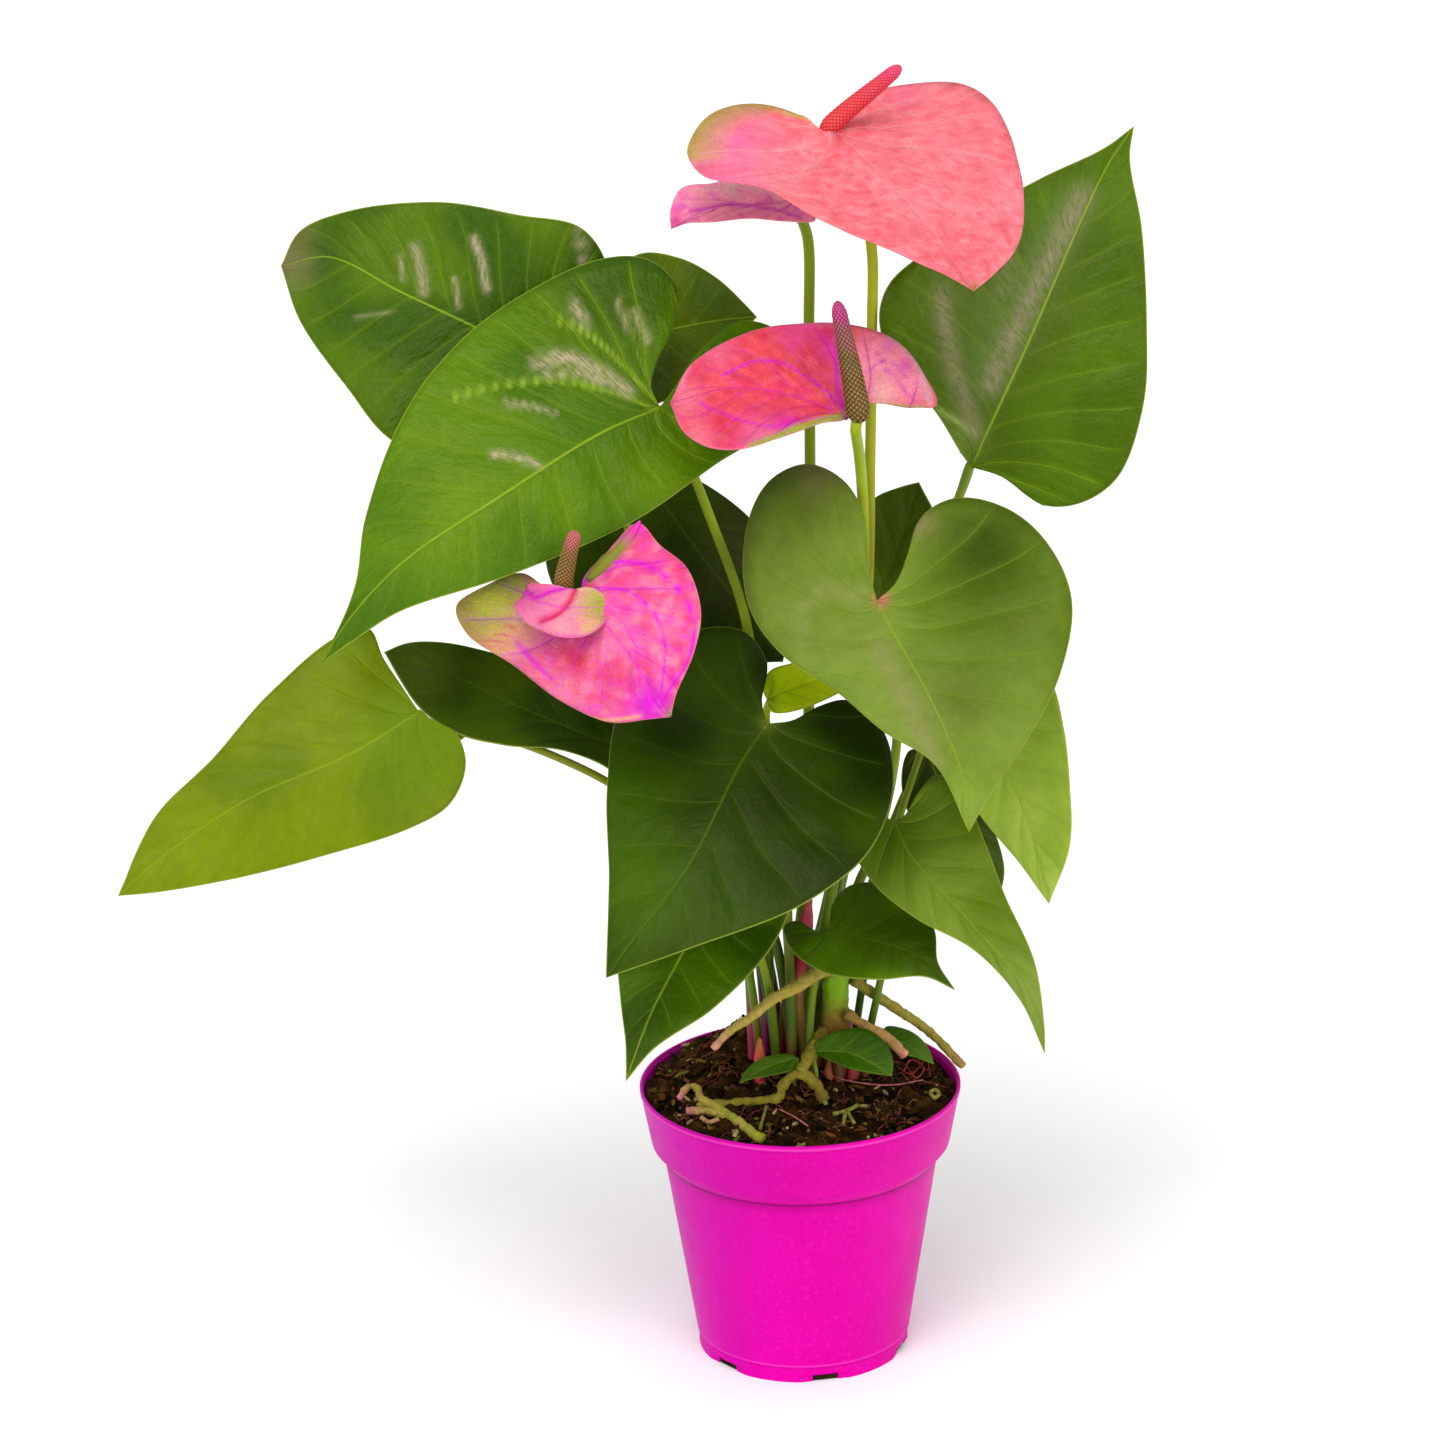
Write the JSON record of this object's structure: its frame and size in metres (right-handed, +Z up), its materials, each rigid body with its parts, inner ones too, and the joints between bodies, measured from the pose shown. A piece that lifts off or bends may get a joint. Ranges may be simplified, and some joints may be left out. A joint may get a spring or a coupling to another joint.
{
  "type": "potted anthurium",
  "caption": "Flowering pot plant with heart-shaped leaves on long stalks, coloured spathes with spadices, and aerial roots, standing in soil in a tapered round pot with a deep collar.",
  "frame": {"origin": "middle of the pot's underside, on the surface it stands on", "axes": "+Z up the pot's axis, -Y towards the side seen in the picture, +X to its right"},
  "size_m": [0.3677, 0.1853, 0.4897],
  "materials": {
    "pot": "satin moulded polypropylene",
    "soil": "damp peat and bark crumbs",
    "leaf": "waxy green leaf",
    "young_leaf": "waxy yellow-green leaf",
    "dark_leaf": "waxy dark green leaf",
    "stalk": "smooth green stalk",
    "coral_spathe": "glossy coral spathe",
    "magenta_spathe": "glossy magenta spathe",
    "red_spathe": "glossy red spathe",
    "brown_spadix": "beaded brown florets",
    "red_spadix": "beaded red florets",
    "root": "matt olive root"
  },
  "bodies": {
    "root": {"pot": "pot", "soil": "soil", "leaf_upper_left": "leaf", "leaf_big_left": "leaf", "leaf_back_left": "leaf", "leaf_yellow_left": "young_leaf", "leaf_dark_left": "dark_leaf", "leaf_right_centre": "leaf", "leaf_front_low": "dark_leaf", "leaf_right_low": "leaf", "leaf_far_right": "leaf", "leaf_behind_right_low": "dark_leaf", "leaf_low_front": "leaf", "leaf_low_right": "leaf", "leaf_upper_right": "leaf", "leaf_behind_big_left": "dark_leaf", "leaf_behind_centre": "dark_leaf", "leaf_young": "young_leaf", "leaf_small_right": "leaf", "leaf_small_left": "leaf", "leaf_small_back": "leaf", "bloom_top_stalk": "stalk", "bloom_top_spathe": "coral_spathe", "bloom_top_spadix": "red_spadix", "bloom_back_stalk": "stalk", "bloom_back_spathe": "magenta_spathe", "bloom_back_spadix": "red_spadix", "bloom_middle_stalk": "stalk", "bloom_middle_spathe": "red_spathe", "bloom_middle_spadix": "brown_spadix", "bloom_low_left_stalk": "stalk", "bloom_low_left_spathe": "magenta_spathe", "bloom_low_left_spadix": "brown_spadix", "crown": "stalk", "shoot": "red_spathe", "sheath": "magenta_spathe", "root_left": "root", "root_right": "root", "root_cut": "root", "root_fork": "root", "root_arch": "root"}
  },
  "joints": []
}
